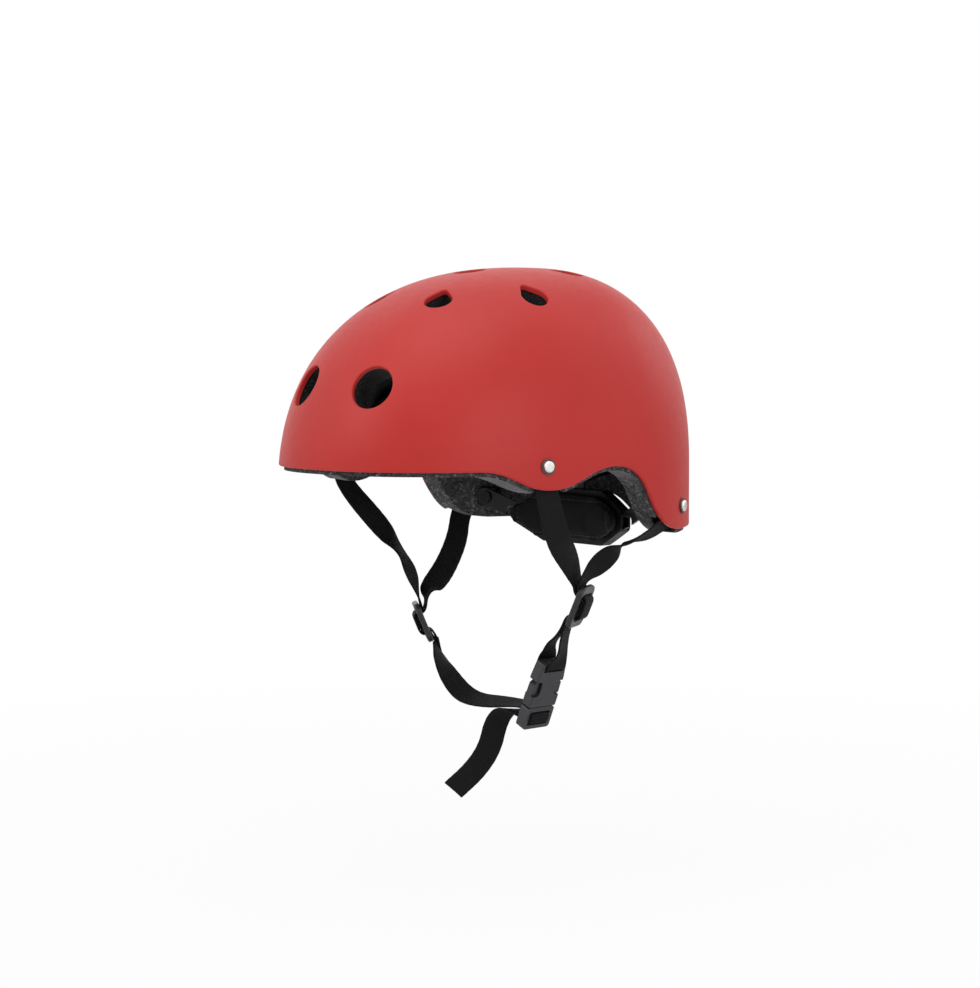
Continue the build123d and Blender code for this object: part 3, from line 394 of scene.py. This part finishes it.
def webbingPiece(name, run, first, last, s):
    # A flat woven band with rounded selvedges; u runs along it and v across it, in metres.
    centres, sides, normals = (rows[first:last + 1] for rows in run)
    along = lengthsAlong(run[0])[first:last + 1]
    half, thick = s["width"] / 2, s["thickness"] / 2
    columns = np.linspace(-1, 1, s["columns"]) * (half - thick)
    bend = np.linspace(0, math.pi, s["edgeSteps"])[1:-1]
    profile = [(v, thick) for v in columns]
    profile += [(half - thick + thick * math.sin(a), thick * math.cos(a)) for a in bend]
    profile += [(v, -thick) for v in columns[::-1]]
    profile += [(thick - half - thick * math.sin(a), -thick * math.cos(a)) for a in bend]
    profile = np.array(profile)
    wave = s["cup"] * (1 - (profile[:, 0] / half) ** 2)
    count, ring = len(centres), len(profile)
    lift = profile[:, 1][None] + wave[None] * np.sin(along * s["cupTurns"])[:, None]
    rim = profile[:, 0][None] * (1 + s["edgeWave"] * np.sin(along * s["edgeTurns"])[:, None])
    points = centres[:, None] + sides[:, None] * rim[..., None] + normals[:, None] * lift[..., None]
    faces = []
    for i in range(count - 1):
        for k in range(ring):
            nextK = (k + 1) % ring
            faces.append((i * ring + k, i * ring + nextK, (i + 1) * ring + nextK, (i + 1) * ring + k))
    faces.append(tuple(range(ring))[::-1])
    faces.append(tuple((count - 1) * ring + k for k in range(ring)))
    mesh = bpy.data.meshes.new(name)
    mesh.from_pydata(points.reshape(-1, 3).tolist(), [], faces)
    uv = mesh.uv_layers.new(name="weave")
    corners = np.empty(len(mesh.loops), dtype=int)
    mesh.loops.foreach_get("vertex_index", corners)
    uv.data.foreach_set("uv", np.column_stack([along[corners // ring], profile[corners % ring, 0]]).ravel())
    tidyFaces(mesh)
    return linkMesh(name, mesh, finishes["webbing"])


weldDistance = 1e-6  # joins a solid's loose triangles and nothing else
sharpAngle = 32  # degrees; a steeper edge stays crisp


def tidyFaces(mesh, merge=0.0):
    shape = bmesh.new()
    shape.from_mesh(mesh)
    if merge:
        bmesh.ops.remove_doubles(shape, verts=shape.verts, dist=merge)
    bmesh.ops.recalc_face_normals(shape, faces=shape.faces)
    shape.to_mesh(mesh)
    shape.free()
    mesh.polygons.foreach_set("use_smooth", [True] * len(mesh.polygons))


# the chin webbing
strapSettings = {"width": 0.0151, "thickness": 0.0013, "spacing": 0.0014, "fewestSteps": 5,
                 "columns": 9, "edgeSteps": 5, "cup": 0.00022, "cupTurns": 160,
                 "edgeWave": 0.006, "edgeTurns": 900}
dividerSettings = {
    "left": {"centre": (0.0725, 0.0175, -0.0855), "facing": (0.82, 0.43, -0.37)},
    "right": {"centre": (-0.076, 0.0175, -0.108), "facing": (-0.54, -0.75, -0.38)},
    "halfHeight": 0.0135, "slot": 0.0068, "stand": 0.00345, "layerStep": 0.0015,
    "clearAbove": 0.002, "clearBelow": 0.005,
}
# ease keeps a strap clear of a lip, and halfGap is half the space between two layers that meet
buckleSettings = {"centre": (0.037, 0.0175, -0.1456), "lean": 23.6, "socketTop": 0.0265,
                  "loopSlot": 0.0223, "socketStand": 0.0049, "plugStand": 0.0044,
                  "plugSlots": (-0.0092, -0.0158), "apartWidth": (-0.52, 0.85, 0),
                  "apartRise": 0.009, "ease": 0.001, "halfGap": 0.00015}


def throughDivider(side, layer, lead):
    # one of a divider's two layers, downwards; it arrives lead behind the divider's middle
    s = dividerSettings
    facing = Vector(s[side]["facing"]).normalized()
    sideways = Vector((0, 0, 1)).cross(facing).normalized()
    upwards = facing.cross(sideways)
    off = layer * s["layerStep"] / 2
    slot, stand = s["slot"], s["stand"]
    corners = [(s["halfHeight"] + s["clearAbove"], lead),
               (slot - off, stand + off), (slot - off, off - stand), (0, off - stand),
               (off - slot, off - stand), (off - slot, stand + off),
               (-s["halfHeight"] - s["clearBelow"], stand + off)]
    return [(Vector(s[side]["centre"]) + upwards * up - facing * inwards, sideways)
            for up, inwards in corners]


def atBuckle(up, out):
    # a station in the buckle's own leaning frame, its width level from front to back
    lean = math.radians(buckleSettings["lean"])
    upwards = Vector((math.sin(lean), 0, math.cos(lean)))
    outwards = Vector((math.cos(lean), 0, -math.sin(lean)))
    return Vector(buckleSettings["centre"]) + upwards * up + outwards * out, Vector((0, 1, 0))


def loopEnd(side):
    # a strap's way into the socket's loop, on the outer (1) or the inner (-1) side
    s = buckleSettings
    stand = s["socketStand"]
    apart = atBuckle(s["socketTop"] + s["apartRise"], side * (stand + s["ease"]))[0]
    return [(apart, s["apartWidth"]),
            atBuckle(s["socketTop"] + s["ease"], side * stand),
            atBuckle(s["loopSlot"], side * stand), atBuckle(s["loopSlot"], side * s["halfGap"])]


plugStand = buckleSettings["plugStand"]
upperSlot, lowerSlot = buckleSettings["plugSlots"]
slotMiddle = (upperSlot + lowerSlot) / 2
halfGap = buckleSettings["halfGap"]
# each strap: the stations of its middle line, each with the direction of its width; and its parts, each
# with its first and last station, the bodies it follows and the stations between which they change over
strapRoutes = {
    "leftFront": {
        "node": "left_front_webbing", "restsOn": ["divider_left", "buckle_socket"],
        "stations": [
            ((0.09592, -0.03557, 0.00859), (-0.208, -0.968, -0.138)),
            ((0.09694, -0.034, -0.00404), (-0.203, -0.968, -0.145)),
            ((0.09616, -0.0319, -0.01629), (-0.221, -0.932, -0.288)),
            ((0.09, -0.018, -0.042), (-0.5, -0.83, -0.25)),
            ((0.079, 0.002, -0.056), (0.15, -0.9, -0.2)),
            *throughDivider("left", 1, 0.0085), *loopEnd(-1)],
        "parts": [("Upper", 0, 8, "helmet", "left_divider", 4, 6),
                  ("Lower", 8, 15, "left_divider", "helmet", 10, 12)],
    },
    "leftRear": {
        "node": "left_rear_webbing", "restsOn": ["divider_left", "buckle_socket"],
        "stations": [
            ((0.09257, 0.08214, -0.02207), (0.284, -0.523, 0.803)),
            ((0.09675, 0.07296, -0.02953), (0.214, -0.559, 0.801)),
            ((0.0978, 0.06563, -0.03498), (0.5, -0.45, 0.74)),
            ((0.097, 0.0535, -0.0416), (0.68, -0.38, 0.6)),
            ((0.0945, 0.0445, -0.0443), (0.88, -0.36, 0.35)),
            ((0.0915, 0.0365, -0.0475), (0.9, -0.4, 0)),
            ((0.0865, 0.031, -0.0525), (0.15, -0.75, 0.6)),
            ((0.0805, 0.0265, -0.0595), (-0.1, -0.75, 0.65)),
            *throughDivider("left", -1, 0.0045), *loopEnd(1)],
        "parts": [("Upper", 0, 11, "helmet", "left_divider", 7, 9),
                  ("Lower", 11, 18, "left_divider", "helmet", 13, 15)],
    },
    "rightFront": {
        "node": "right_front_webbing", "restsOn": ["divider_right", "buckle_plug"],
        "stations": [
            ((-0.09593, -0.03555, 0.00858), (-0.214, 0.967, 0.138)),
            ((-0.09694, -0.03397, -0.00404), (-0.209, 0.967, 0.145)),
            ((-0.09616, -0.03186, -0.01629), (-0.235, 0.874, 0.425)),
            ((-0.093, -0.003, -0.046), (0.031, 0.754, 0.657)),
            ((-0.088, 0.0084, -0.061), (-0.7, 0.7, 0.05)),
            ((-0.082, 0.0132, -0.076), (-0.3, 0.93, 0.2)),
            *throughDivider("right", -1, 0.0036),
            ((-0.0634, 0.0216, -0.1276), (-0.4, 0.8, -0.3)),
            ((-0.056, 0.0175, -0.133), (-0.15, 0.95, -0.1)),
            ((-0.0486, 0.0175, -0.1418), (0.05, 0.95, 0.22)),
            ((-0.0371, 0.0175, -0.1505), (0.1, 0.88, 0.4)),
            ((-0.0242, 0.0175, -0.1536), (0.031, 0.93, 0.36)),
            ((-0.005, 0.0175, -0.1529), (0, 0.92, 0.38)),
            ((0.014, 0.0175, -0.1515), (0, 0.981, 0.196)),
            atBuckle(upperSlot, -plugStand - 0.002), atBuckle(upperSlot, plugStand),
            atBuckle(slotMiddle + halfGap, plugStand)],
        "parts": [("Upper", 0, 9, "helmet", "right_divider", 5, 7),
                  ("Middle", 9, 15, "right_divider", "helmet", 11, 14),
                  ("Lower", 15, 22, "helmet", "plug", 16, 19)],
    },
    "rightRear": {
        "node": "right_rear_webbing", "restsOn": ["divider_right"],
        "stations": [
            ((-0.09337, 0.08062, -0.02029), (0.383, 0.77, -0.51)),
            ((-0.09608, 0.07467, -0.03131), (0.318, 0.802, -0.507)),
            ((-0.09697, 0.06838, -0.04191), (0.24, 0.86, -0.451)),
            ((-0.09, 0.06, -0.057), (0.4, 0.8, -0.4)),
            ((-0.084, 0.044, -0.075), (0.45, 0.7, -0.55)),
            ((-0.0765, 0.0265, -0.085), (0.8, 0.15, -0.5)),
            *throughDivider("right", 1, 0.009),
            ((-0.0665, 0.0238, -0.1251), (0.6, -0.69, 0.15))],
        "parts": [("Upper", 0, 9, "helmet", "right_divider", 5, 7),
                  ("Lower", 9, 13, "right_divider", "helmet", 11, 13)],
    },
    "adjusterTail": {
        "node": "adjuster_tail", "restsOn": ["buckle_plug"],
        "stations": [
            atBuckle(slotMiddle - halfGap, plugStand), atBuckle(lowerSlot, plugStand),
            atBuckle(lowerSlot, -plugStand - 0.001),
            ((0.014, 0.0175, -0.1556), (0.004, 1.0, -0.019)),
            ((0.004, 0.0175, -0.1572), (0.201, 0.937, -0.286)),
            ((-0.0045, 0.0175, -0.166), (0.505, 0.808, -0.303)),
            ((-0.01, 0.0175, -0.183), (0.57, 0.74, -0.357)),
            ((-0.024, 0.0175, -0.199), (0.528, 0.628, -0.572)),
            ((-0.0455, 0.0175, -0.215), (0.493, 0.564, -0.662))],
        "parts": [("", 0, 8, "plug", None, None, None)],
    },
}


def addWebbing(routes, s):
    for name, route in routes.items():
        run, marks = smoothRun(route["stations"], s["spacing"], s["fewestSteps"])
        lengths = lengthsAlong(run[0])
        for part, first, last, body, nextBody, start, end in route["parts"]:
            piece = webbingPiece(name + part, run, marks[first], marks[last], s)
            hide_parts(route["node"])
            if nextBody:
                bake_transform(piece)
            else:
                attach(piece, body)
            length = float(lengths[marks[last]] - lengths[marks[first]])
            print(name + part, "strap length", round(length, 4))


addWebbing(strapRoutes, strapSettings)


# arms and hanger, copied unbent: the liner holds each where it says held, and the cradle where it says free
flexSettings = {
    "leftArm": {"node": "rack_arm_left", "held": (0.070, 0, 0), "free": (0.044, 0, 0)},
    "rightArm": {"node": "rack_arm_right", "held": (-0.070, 0, 0), "free": (-0.044, 0, 0)},
    "hangerLoop": {"node": "hanger_strap", "held": (0, 0.1098, -0.009), "free": (0, 0.0868, -0.0165)},
}


def addFlexible(settings):
    for name, s in settings.items():
        mesh = nodes[s["node"]].data.copy()
        tidyFaces(mesh, merge=weldDistance)
        mesh.set_sharp_from_angle(angle=math.radians(sharpAngle))
        piece = linkMesh(name, mesh, finishes["arm"])
        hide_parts(s["node"])
        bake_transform(piece)
    print("arms and hanger hung:", len(settings))


addFlexible(flexSettings)


# the comfort pads
padSettings = {"voxel": 0.004, "startIn": 0.0006, "pressure": 4.0, "frames": 20, "headSide": 0.0032,
               "linerSide": 0.0003, "middle": (0, -0.02, 0), "fill": 0.55, "seamIn": 0.0048,
               "seamStep": 0.0015, "cornerSteps": 12, "ringSteps": 60, "grooveWidth": 0.0022,
               "grooveDepth": 0.0009, "grooveFacing": -0.2}
# each pad: the frame it was cut in, its half size and corner, or a ring's two radii
padPlaces = {
    "browPad": {"node": "brow_pad", "centre": (0, -0.04, 0.02), "right": (1, 0, 0), "out": (0, -1, 0),
                "half": (0.064, 0.015), "corner": 0.012},
    "rearPad": {"node": "rear_pad", "centre": (0, 0.06, 0.022), "right": (-1, 0, 0), "out": (0, 1, 0),
                "half": (0.048, 0.015), "corner": 0.012},
    "leftPad": {"node": "side_pad_left", "centre": (0.04, 0.006, 0.026), "right": (0, 1, 0),
                "out": (1, 0, 0), "half": (0.031, 0.018), "corner": 0.014},
    "rightPad": {"node": "side_pad_right", "centre": (-0.04, 0.006, 0.026), "right": (0, 1, 0),
                 "out": (-1, 0, 0), "half": (0.031, 0.018), "corner": 0.014},
    "crownPad": {"node": "crown_pad", "centre": (0, -0.008, 0.04), "right": (1, 0, 0), "out": (0, 0, 1),
                 "half": (0.0379, 0.0379), "corner": 0.0379, "hole": 0.0155},
    "napePad": {"node": "nape_pad", "centre": (0, -0.02, -0.038), "right": (-1, 0, 0), "out": (0, 1, 0),
                "half": (0.046, 0.016), "corner": 0.012, "body": "cradle",
                "middle": (0, -0.02, -0.038)},
}


def bakedMesh(thing):
    shape = thing.evaluated_get(bpy.context.evaluated_depsgraph_get())
    return bpy.data.meshes.new_from_object(shape)


def dropModifiers(thing):
    # keep what the modifiers give, and none of them
    old, mesh = thing.data, bakedMesh(thing)
    thing.modifiers.clear()
    thing.data = mesh
    bpy.data.meshes.remove(old)


def pointsOf(mesh):
    points = np.empty(len(mesh.vertices) * 3)
    mesh.vertices.foreach_get("co", points)
    return points.reshape(-1, 3)


def normalsOf(mesh):
    normals = np.empty(len(mesh.vertices) * 3)
    mesh.vertices.foreach_get("normal", normals)
    return normals.reshape(-1, 3)


def setPoints(mesh, points):
    mesh.vertices.foreach_set("co", points.ravel())
    mesh.update()


def padFrame(place):
    out, right = Vector(place["out"]), Vector(place["right"])
    return np.array(place["centre"]), np.array(right), np.array(out.cross(right)), np.array(out)


def edgeDistance(place, across, up):
    # how far a point of the pad's own plane lies inside its cut edge
    corner = place["corner"]
    dx, dy = np.abs(across) - (place["half"][0] - corner), np.abs(up) - (place["half"][1] - corner)
    inside = corner - np.hypot(np.maximum(dx, 0), np.maximum(dy, 0)) - np.minimum(np.maximum(dx, dy), 0)
    if "hole" in place:
        inside = np.minimum(inside, np.hypot(across, up) - place["hole"])
    return inside


def evenSkin(name, place, s):
    mesh = nodes[place["node"]].data.copy()
    tidyFaces(mesh, merge=weldDistance)
    pad = linkMesh(name, mesh, finishes["knit"])
    remesh = pad.modifiers.new("evenSkin", "REMESH")
    remesh.mode, remesh.voxel_size = "VOXEL", s["voxel"]
    dropModifiers(pad)
    setPoints(pad.data, pointsOf(pad.data) - normalsOf(pad.data) * s["startIn"])
    return pad


def stuffPad(pad, s):
    cloth = pad.modifiers.new("stuffing", "CLOTH")
    cloth.settings.use_pressure = True
    cloth.settings.uniform_pressure_force = s["pressure"]
    cloth.settings.effector_weights.gravity = 0
    cloth.point_cache.frame_start, cloth.point_cache.frame_end = 1, s["frames"]
    for frameNumber in range(1, s["frames"] + 1):
        bpy.context.scene.frame_set(frameNumber)
    dropModifiers(pad)
    bpy.context.scene.frame_set(1)


def holdPad(pad, place, start, s):
    # the stuffing pushes only so far towards the head, and hardly at all towards the liner
    moved = pointsOf(pad.data) - start
    length = np.linalg.norm(moved, axis=1, keepdims=True)
    moved *= np.minimum(1, s["headSide"] / np.maximum(length, 1e-9))
    outwards = start - np.array(place.get("middle", s["middle"]))
    outwards /= np.linalg.norm(outwards, axis=1, keepdims=True)
    towardsLiner = (moved * outwards).sum(1, keepdims=True)
    moved -= outwards * np.maximum(0, towardsLiner - s["linerSide"])
    setPoints(pad.data, start + moved)


def pressSeam(pad, place, s):
    centre, right, up, out = padFrame(place)
    points, normals = pointsOf(pad.data), normalsOf(pad.data)
    local = points - centre
    inside = edgeDistance(place, local @ right, local @ up)
    groove = np.clip(1 - np.abs(inside - s["seamIn"]) / s["grooveWidth"], 0, 1)
    groove *= normals @ out < s["grooveFacing"]
    setPoints(pad.data, points - normals * (groove * s["grooveDepth"])[:, None])


def inflatedPad(name, place, s):
    pad = evenSkin(name, place, s)
    start = pointsOf(pad.data)
    stuffPad(pad, s)
    holdPad(pad, place, start, s)
    finer = pad.modifiers.new("finer", "SUBSURF")
    finer.levels = finer.render_levels = 1
    dropModifiers(pad)
    pressSeam(pad, place, s)
    tidyFaces(pad.data)
    return pad


def seamLoops(place, s):
    # the sewn line of a pad in its own plane, and a second one round its hole
    corner = place["corner"] - s["seamIn"]
    wide, tall = place["half"][0] - place["corner"], place["half"][1] - place["corner"]
    outline = []
    for turn, (cx, cy) in enumerate(((wide, tall), (-wide, tall), (-wide, -tall), (wide, -tall))):
        for angle in np.linspace(turn * math.pi / 2, (turn + 1) * math.pi / 2, s["cornerSteps"]):
            outline.append((cx + corner * math.cos(angle), cy + corner * math.sin(angle)))
    loops = [np.array(outline)]
    if "hole" in place:
        angles = np.linspace(0, 2 * math.pi, s["ringSteps"], endpoint=False)
        loops.append(np.column_stack([np.cos(angles), np.sin(angles)]) * (place["hole"] + s["seamIn"]))
    evened = []
    for loop in loops:
        closed = np.vstack([loop, loop[:1]])
        lengths = lengthsAlong(closed)
        at = np.linspace(0, lengths[-1], int(lengths[-1] / s["seamStep"]), endpoint=False)
        evened.append(np.column_stack([np.interp(at, lengths, closed[:, k]) for k in (0, 1)]))
    return evened


def pathOnPad(pad, place, loop):
    # the loop laid on the pad's head side
    tree = BVHTree.FromObject(pad, bpy.context.evaluated_depsgraph_get())
    centre, right, up, out = padFrame(place)
    points = []
    for across, high in loop:
        hit = tree.ray_cast(Vector(centre + right * across + up * high), Vector(out))[0]
        if hit:
            points.append(hit)
    return points


# the sewing
stitchSettings = {"pitch": 0.0032, "length": 0.0022, "thread": 0.00042, "sides": 6}


def stitchTree(finish, sides):
    # Even stitches along an edge path: a short thread lies on each of its points.
    group = bpy.data.node_groups.new("evenStitches", "GeometryNodeTree")
    for label, kind in (("Path", "NodeSocketGeometry"), ("Pitch", "NodeSocketFloat"),
                        ("Stitch length", "NodeSocketFloat"), ("Thread", "NodeSocketFloat")):
        group.interface.new_socket(label, in_out="INPUT", socket_type=kind)
    group.interface.new_socket("Stitches", in_out="OUTPUT", socket_type="NodeSocketGeometry")
    m = NodeMaker(group)
    path, pitch, length, radius = m.outputs("NodeGroupInput")[:4]
    line = m.node("GeometryNodeMeshToCurve", inputs={"Mesh": path})
    even = m.node("GeometryNodeResampleCurve", {"mode": "LENGTH"}, {"Curve": line, "Length": pitch})
    heading = m.node("GeometryNodeInputTangent")
    turn = m.node("FunctionNodeAlignRotationToVector", {"axis": "Z"}, {"Vector": heading})
    thread = m.node("GeometryNodeMeshCylinder",
                    inputs={"Vertices": sides, "Radius": radius, "Depth": length})
    placed = m.node("GeometryNodeInstanceOnPoints",
                    inputs={"Points": even, "Instance": thread, "Rotation": turn})
    real = m.node("GeometryNodeRealizeInstances", inputs={0: placed})
    sewn = m.node("GeometryNodeSetMaterial", inputs={"Geometry": real, "Material": finish})
    m.node("NodeGroupOutput", inputs={0: sewn})
    return group


def sewnThread(name, loops, tree, s):
    # Each loop is a closed seam; the result is one plain mesh of stitches.
    points, edges = [], []
    for loop in loops:
        first, count = len(points), len(loop)
        points += [tuple(point) for point in loop]
        edges += [(first + k, first + (k + 1) % count) for k in range(count)]
    mesh = bpy.data.meshes.new(name)
    mesh.from_pydata(points, edges, [])
    thing = linkMesh(name, mesh, finishes["thread"])
    sewing = thing.modifiers.new("sewing", "NODES")
    sewing.node_group = tree
    sockets = {item.name: item.identifier for item in tree.interface.items_tree if item.in_out == "INPUT"}
    for label, value in (("Pitch", s["pitch"]), ("Stitch length", s["length"]), ("Thread", s["thread"])):
        sewing[sockets[label]] = value
    dropModifiers(thing)
    tidyFaces(thing.data)
    return thing


stitches = stitchTree(finishes["thread"], stitchSettings["sides"])


def addPads(places, s):
    for name, place in places.items():
        pad = inflatedPad(name, place, s)
        body = place.get("body", "helmet")
        loops = [pathOnPad(pad, place, loop) for loop in seamLoops(place, s)]
        thread = sewnThread(name + "Stitches", loops, stitches, stitchSettings)
        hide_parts(place["node"])
        for thing in (pad, thread):
            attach(thing, body)
    print("pads sewn:", len(places))


addPads(padPlaces, padSettings)


def addFloor(s):
    # a white sweep: it takes the faintest shadow near the helmet and none further off
    drop, half = cadBox[0][2] - s["floorDrop"], s["floorSize"] / 2
    m = newFinish("paleFloor")
    diffuse = m.node("ShaderNodeBsdfDiffuse", inputs={"Color": s["floorColour"]})
    glow = m.node("ShaderNodeEmission", inputs={"Color": s["backdrop"], "Strength": 1.0})
    x, y, _ = m.axes(m.place())
    plain = m.between(x * x + y * y, 0, s["fade"] ** 2, s["nearGlow"], 1)
    seen = m.node("ShaderNodeLightPath", output="Is Camera Ray")
    surface = m.node("ShaderNodeMixShader", inputs={0: seen * plain, 1: diffuse, 2: glow})
    under = m.node("ShaderNodeNewGeometry", output="Backfacing")
    clear = m.node("ShaderNodeBsdfTransparent")
    surface = m.node("ShaderNodeMixShader", inputs={0: under, 1: surface, 2: clear})
    m.node("ShaderNodeOutputMaterial", inputs={"Surface": surface})
    mesh = bpy.data.meshes.new("studioFloor")
    mesh.from_pydata([(-half, -half, drop), (half, -half, drop), (half, half, drop), (-half, half, drop)],
                     [], [(0, 1, 2, 3)])
    linkMesh("studioFloor", mesh, m.owner)


def addSurroundings(s):
    # white to the camera, in reflections and through clear parts, and softer as a light
    world = bpy.data.worlds.new("studioWorld")
    bpy.context.scene.world = world
    m = MaterialMaker(world)
    seen = m.node("ShaderNodeLightPath", output="Is Camera Ray")
    mirrored = m.node("ShaderNodeLightPath", output="Is Glossy Ray")
    through = m.node("ShaderNodeLightPath", output="Is Transmission Ray")
    soft = m.node("ShaderNodeBackground", inputs={"Color": s["backdrop"], "Strength": s["ambient"]})
    white = m.node("ShaderNodeBackground", inputs={"Color": s["backdrop"]})
    mix = m.node("ShaderNodeMixShader", inputs={0: seen + mirrored + through, 1: soft, 2: white})
    m.node("ShaderNodeOutputWorld", inputs={"Surface": mix})


addCamera(cameraSettings)
addLights(lightSettings)
addFloor(stageSettings)
addSurroundings(stageSettings)
bpy.context.scene.view_settings.view_transform = "Standard"
print("camera, lights and floor placed")
